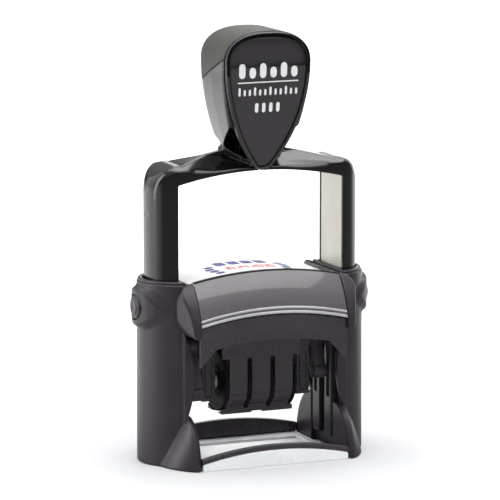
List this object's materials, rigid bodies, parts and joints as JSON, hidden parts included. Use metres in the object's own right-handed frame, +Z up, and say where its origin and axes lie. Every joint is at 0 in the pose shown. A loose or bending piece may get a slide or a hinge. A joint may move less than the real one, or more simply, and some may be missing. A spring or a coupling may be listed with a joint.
{
  "type": "self-inking date stamp",
  "caption": "Self-inking rotary date stamp with a sprung hoop handle, teardrop knob, turning die carriage, setting wheels, arched cover and pull-out ink cartridge.",
  "frame": {"origin": "centre of the base on the paper, midway between the columns and between the feet", "axes": "+Z up along the stroke, +X to the right seen from the front, the user stands at -Y"},
  "size_m": [0.0938, 0.051, 0.16],
  "materials": {
    "satin_plastic": "satin moulded plastic, fine grain",
    "gloss_plastic": "polished black plastic",
    "soft_touch": "soft-touch elastomer skin",
    "badge_face": "fine-etched satin plate",
    "smoke_cover": "clear to smoke-grey tinted acrylic",
    "clear_frame": "clear polycarbonate",
    "card": "coated white card",
    "steel": "brushed steel strip",
    "die_rubber": "laser-cut stamp rubber",
    "plate_plastic": "moulded plate",
    "band_rubber": "moulded printing bands",
    "axle_plastic": "acetal",
    "pad_blue": "felt soaked in blue ink",
    "pad_red": "felt soaked in red ink"
  },
  "bodies": {
    "housing": {"left_column": "satin_plastic", "right_column": "satin_plastic", "collar_left": "satin_plastic", "collar_right": "satin_plastic", "front_rail": "gloss_plastic", "rear_rail": "gloss_plastic", "clear_base_frame": "clear_frame", "top_bridge": "gloss_plastic", "index_cover": "smoke_cover", "index_card": "card", "end_bracket_left": "satin_plastic", "end_bracket_right": "satin_plastic", "guide_left": "satin_plastic", "guide_right": "satin_plastic", "return_spring_left": "steel", "return_spring_right": "steel"},
    "handle": {"hoop_shell": "gloss_plastic", "steel_bracket": "steel", "knob_core": "gloss_plastic", "knob_cap": "soft_touch", "knob_badge": "badge_face", "badge_bezel": "gloss_plastic", "pivot_pin_left": "steel", "pivot_pin_right": "steel", "slide_bush_left": "axle_plastic", "slide_bush_right": "axle_plastic"},
    "carriage": {"carriage_frame": "gloss_plastic", "text_plate": "plate_plastic", "rubber_die": "die_rubber", "month_band": "band_rubber", "tens_band": "band_rubber", "units_band": "band_rubber", "year_band": "band_rubber", "band_anvil": "gloss_plastic", "front_guard": "gloss_plastic", "rear_guard": "gloss_plastic", "wheel_axle": "axle_plastic", "cam_pin_left": "steel", "cam_pin_right": "steel"},
    "month_setter": {"month_wheel": "gloss_plastic"},
    "tens_setter": {"tens_wheel": "gloss_plastic"},
    "units_setter": {"units_wheel": "gloss_plastic"},
    "year_setter": {"year_wheel": "gloss_plastic"},
    "button_left": {"lock_button_left": "satin_plastic"},
    "button_right": {"lock_button_right": "satin_plastic"},
    "ink_cartridge": {"cartridge_tray": "gloss_plastic", "text_pad": "pad_blue", "date_pad": "pad_red"}
  },
  "joints": [
    {"name": "handle_press", "type": "slide", "parent": "housing", "child": "handle", "axis": [0, 0, -1], "range_m": [0, 0.035], "stiffness_N_per_m": 300, "springref_m": -0.02, "deforming": ["return_spring_left", "return_spring_right"]},
    {"name": "carriage_flip", "type": "hinge", "parent": "handle", "child": "carriage", "pos_m": [0, 0, 0.0425], "axis": [1, 0, 0], "range_deg": [0, 180]},
    {"name": "month_set", "type": "hinge", "parent": "carriage", "child": "month_setter", "pos_m": [0, 0, 0.0286], "axis": [1, 0, 0], "continuous": true},
    {"name": "tens_set", "type": "hinge", "parent": "carriage", "child": "tens_setter", "pos_m": [0, 0, 0.0286], "axis": [1, 0, 0], "continuous": true},
    {"name": "units_set", "type": "hinge", "parent": "carriage", "child": "units_setter", "pos_m": [0, 0, 0.0286], "axis": [1, 0, 0], "continuous": true},
    {"name": "year_set", "type": "hinge", "parent": "carriage", "child": "year_setter", "pos_m": [0, 0, 0.0286], "axis": [1, 0, 0], "continuous": true},
    {"name": "button_left_push", "type": "slide", "parent": "housing", "child": "button_left", "axis": [1, 0, 0], "range_m": [0, 0.0009]},
    {"name": "button_right_push", "type": "slide", "parent": "housing", "child": "button_right", "axis": [-1, 0, 0], "range_m": [0, 0.0009]},
    {"name": "cartridge_pull", "type": "slide", "parent": "housing", "child": "ink_cartridge", "axis": [0, -1, 0], "range_m": [0, 0.045]}
  ],
  "couplings": [
    {"joint": "carriage_flip", "follows": "handle_press", "rad_per_m": 89.759}
  ]
}
